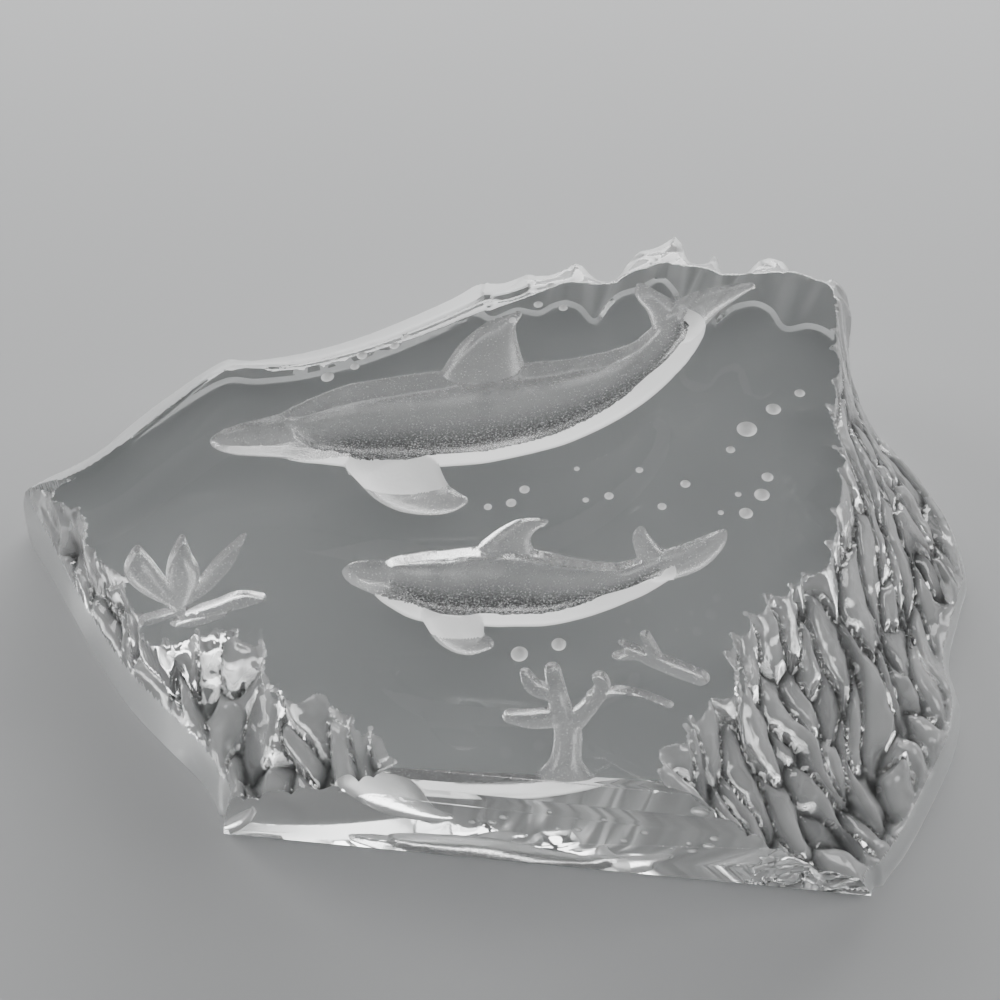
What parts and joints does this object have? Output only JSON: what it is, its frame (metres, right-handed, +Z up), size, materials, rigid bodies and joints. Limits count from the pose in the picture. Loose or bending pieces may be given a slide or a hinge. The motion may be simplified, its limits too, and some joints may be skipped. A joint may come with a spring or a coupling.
{
  "type": "glass dolphin paperweight",
  "caption": "Cast clear glass slab with frosted dolphins, coral, weed and bubbles pressed into its upper face and broken rocky edges; rests on its polished face.",
  "frame": {"origin": "middle of the bounding box of the polished face that the slab lies on, at table level", "axes": "+X from the pointed left tip to the rocky right side, along the length; -Y out of the ground base edge; +Z up out of the carved field"},
  "size_m": [0.1898, 0.1296, 0.0353],
  "materials": {
    "clear_glass": "clear polished cast glass with frosted carvings"
  },
  "bodies": {
    "root": {"dolphin_paperweight": "clear_glass"}
  },
  "joints": []
}
